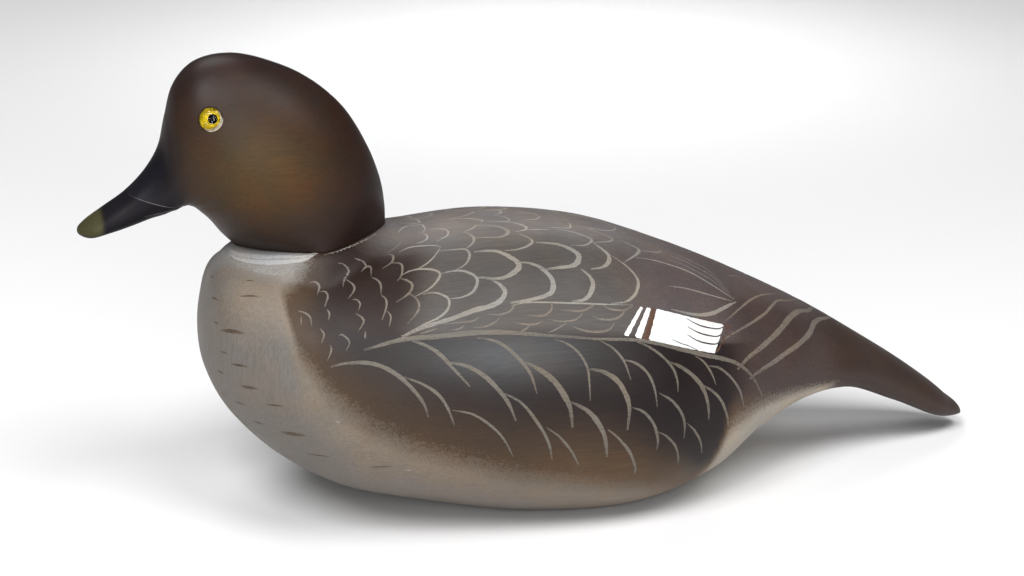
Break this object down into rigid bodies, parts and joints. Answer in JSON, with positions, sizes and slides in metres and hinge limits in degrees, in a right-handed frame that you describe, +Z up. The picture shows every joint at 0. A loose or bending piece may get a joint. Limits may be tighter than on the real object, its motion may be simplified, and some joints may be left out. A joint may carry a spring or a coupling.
{
  "type": "floating duck decoy",
  "caption": "Hollow carved and painted wooden duck decoy with a raised head, a glass eye each side, bottom ballast and a hinged anchor-line ring.",
  "frame": {"origin": "on the floor under the middle of the decoy", "axes": "+Z up, bill towards -X, tail towards +X, the duck's left side towards -Y"},
  "size_m": [0.375, 0.152, 0.183],
  "materials": {
    "hull_paint": "hand-brushed matt oil paint over carved wood: dark warm grey back with pale feather edges, fading to grey",
    "belly_paint": "hand-brushed matt grey oil paint over carved wood",
    "head_paint": "satin dark brown oil paint over carved wood, ochre in the cheek",
    "bill_paint": "satin black oil paint over carved hardwood, olive at the tip",
    "bare_wood": "bare birch dowel",
    "brass": "dull brass",
    "steel": "plain zinc-plated steel",
    "lead": "dull cast lead",
    "eye_glass": "clear polished glass",
    "iris_enamel": "yellow enamel on the back of the glass",
    "pupil_enamel": "black enamel on the back of the glass",
    "putty": "painted wood filler"
  },
  "bodies": {
    "decoy": {"body_block": "hull_paint", "bottom_board": "belly_paint", "head": "head_paint", "bill": "bill_paint", "bill_pin": "bare_wood", "neck_lag_screw": "steel", "neck_washer": "steel", "neck_locating_pin": "bare_wood", "seam_dowel_1": "bare_wood", "seam_dowel_2": "bare_wood", "seam_dowel_3": "bare_wood", "seam_dowel_4": "bare_wood", "bottom_screw_1": "brass", "bottom_screw_2": "brass", "bottom_screw_3": "brass", "bottom_screw_4": "brass", "bottom_screw_5": "brass", "bottom_screw_6": "brass", "bottom_screw_7": "brass", "lead_ballast": "lead", "ballast_screw_1": "brass", "ballast_screw_2": "brass", "line_tie_eye": "brass", "eye_glass_left": "eye_glass", "eye_iris_left": "iris_enamel", "eye_pupil_left": "pupil_enamel", "eye_wire_left": "steel", "eye_putty_left": "putty", "eye_glass_right": "eye_glass", "eye_iris_right": "iris_enamel", "eye_pupil_right": "pupil_enamel", "eye_wire_right": "steel", "eye_putty_right": "putty"},
    "tie_ring": {"line_tie_ring": "brass"}
  },
  "joints": [
    {"name": "line_tie_swing", "type": "hinge", "parent": "decoy", "child": "tie_ring", "pos_m": [-0.026, 0, 0.00345], "axis": [0, 1, 0], "range_deg": [-105, 25]}
  ]
}
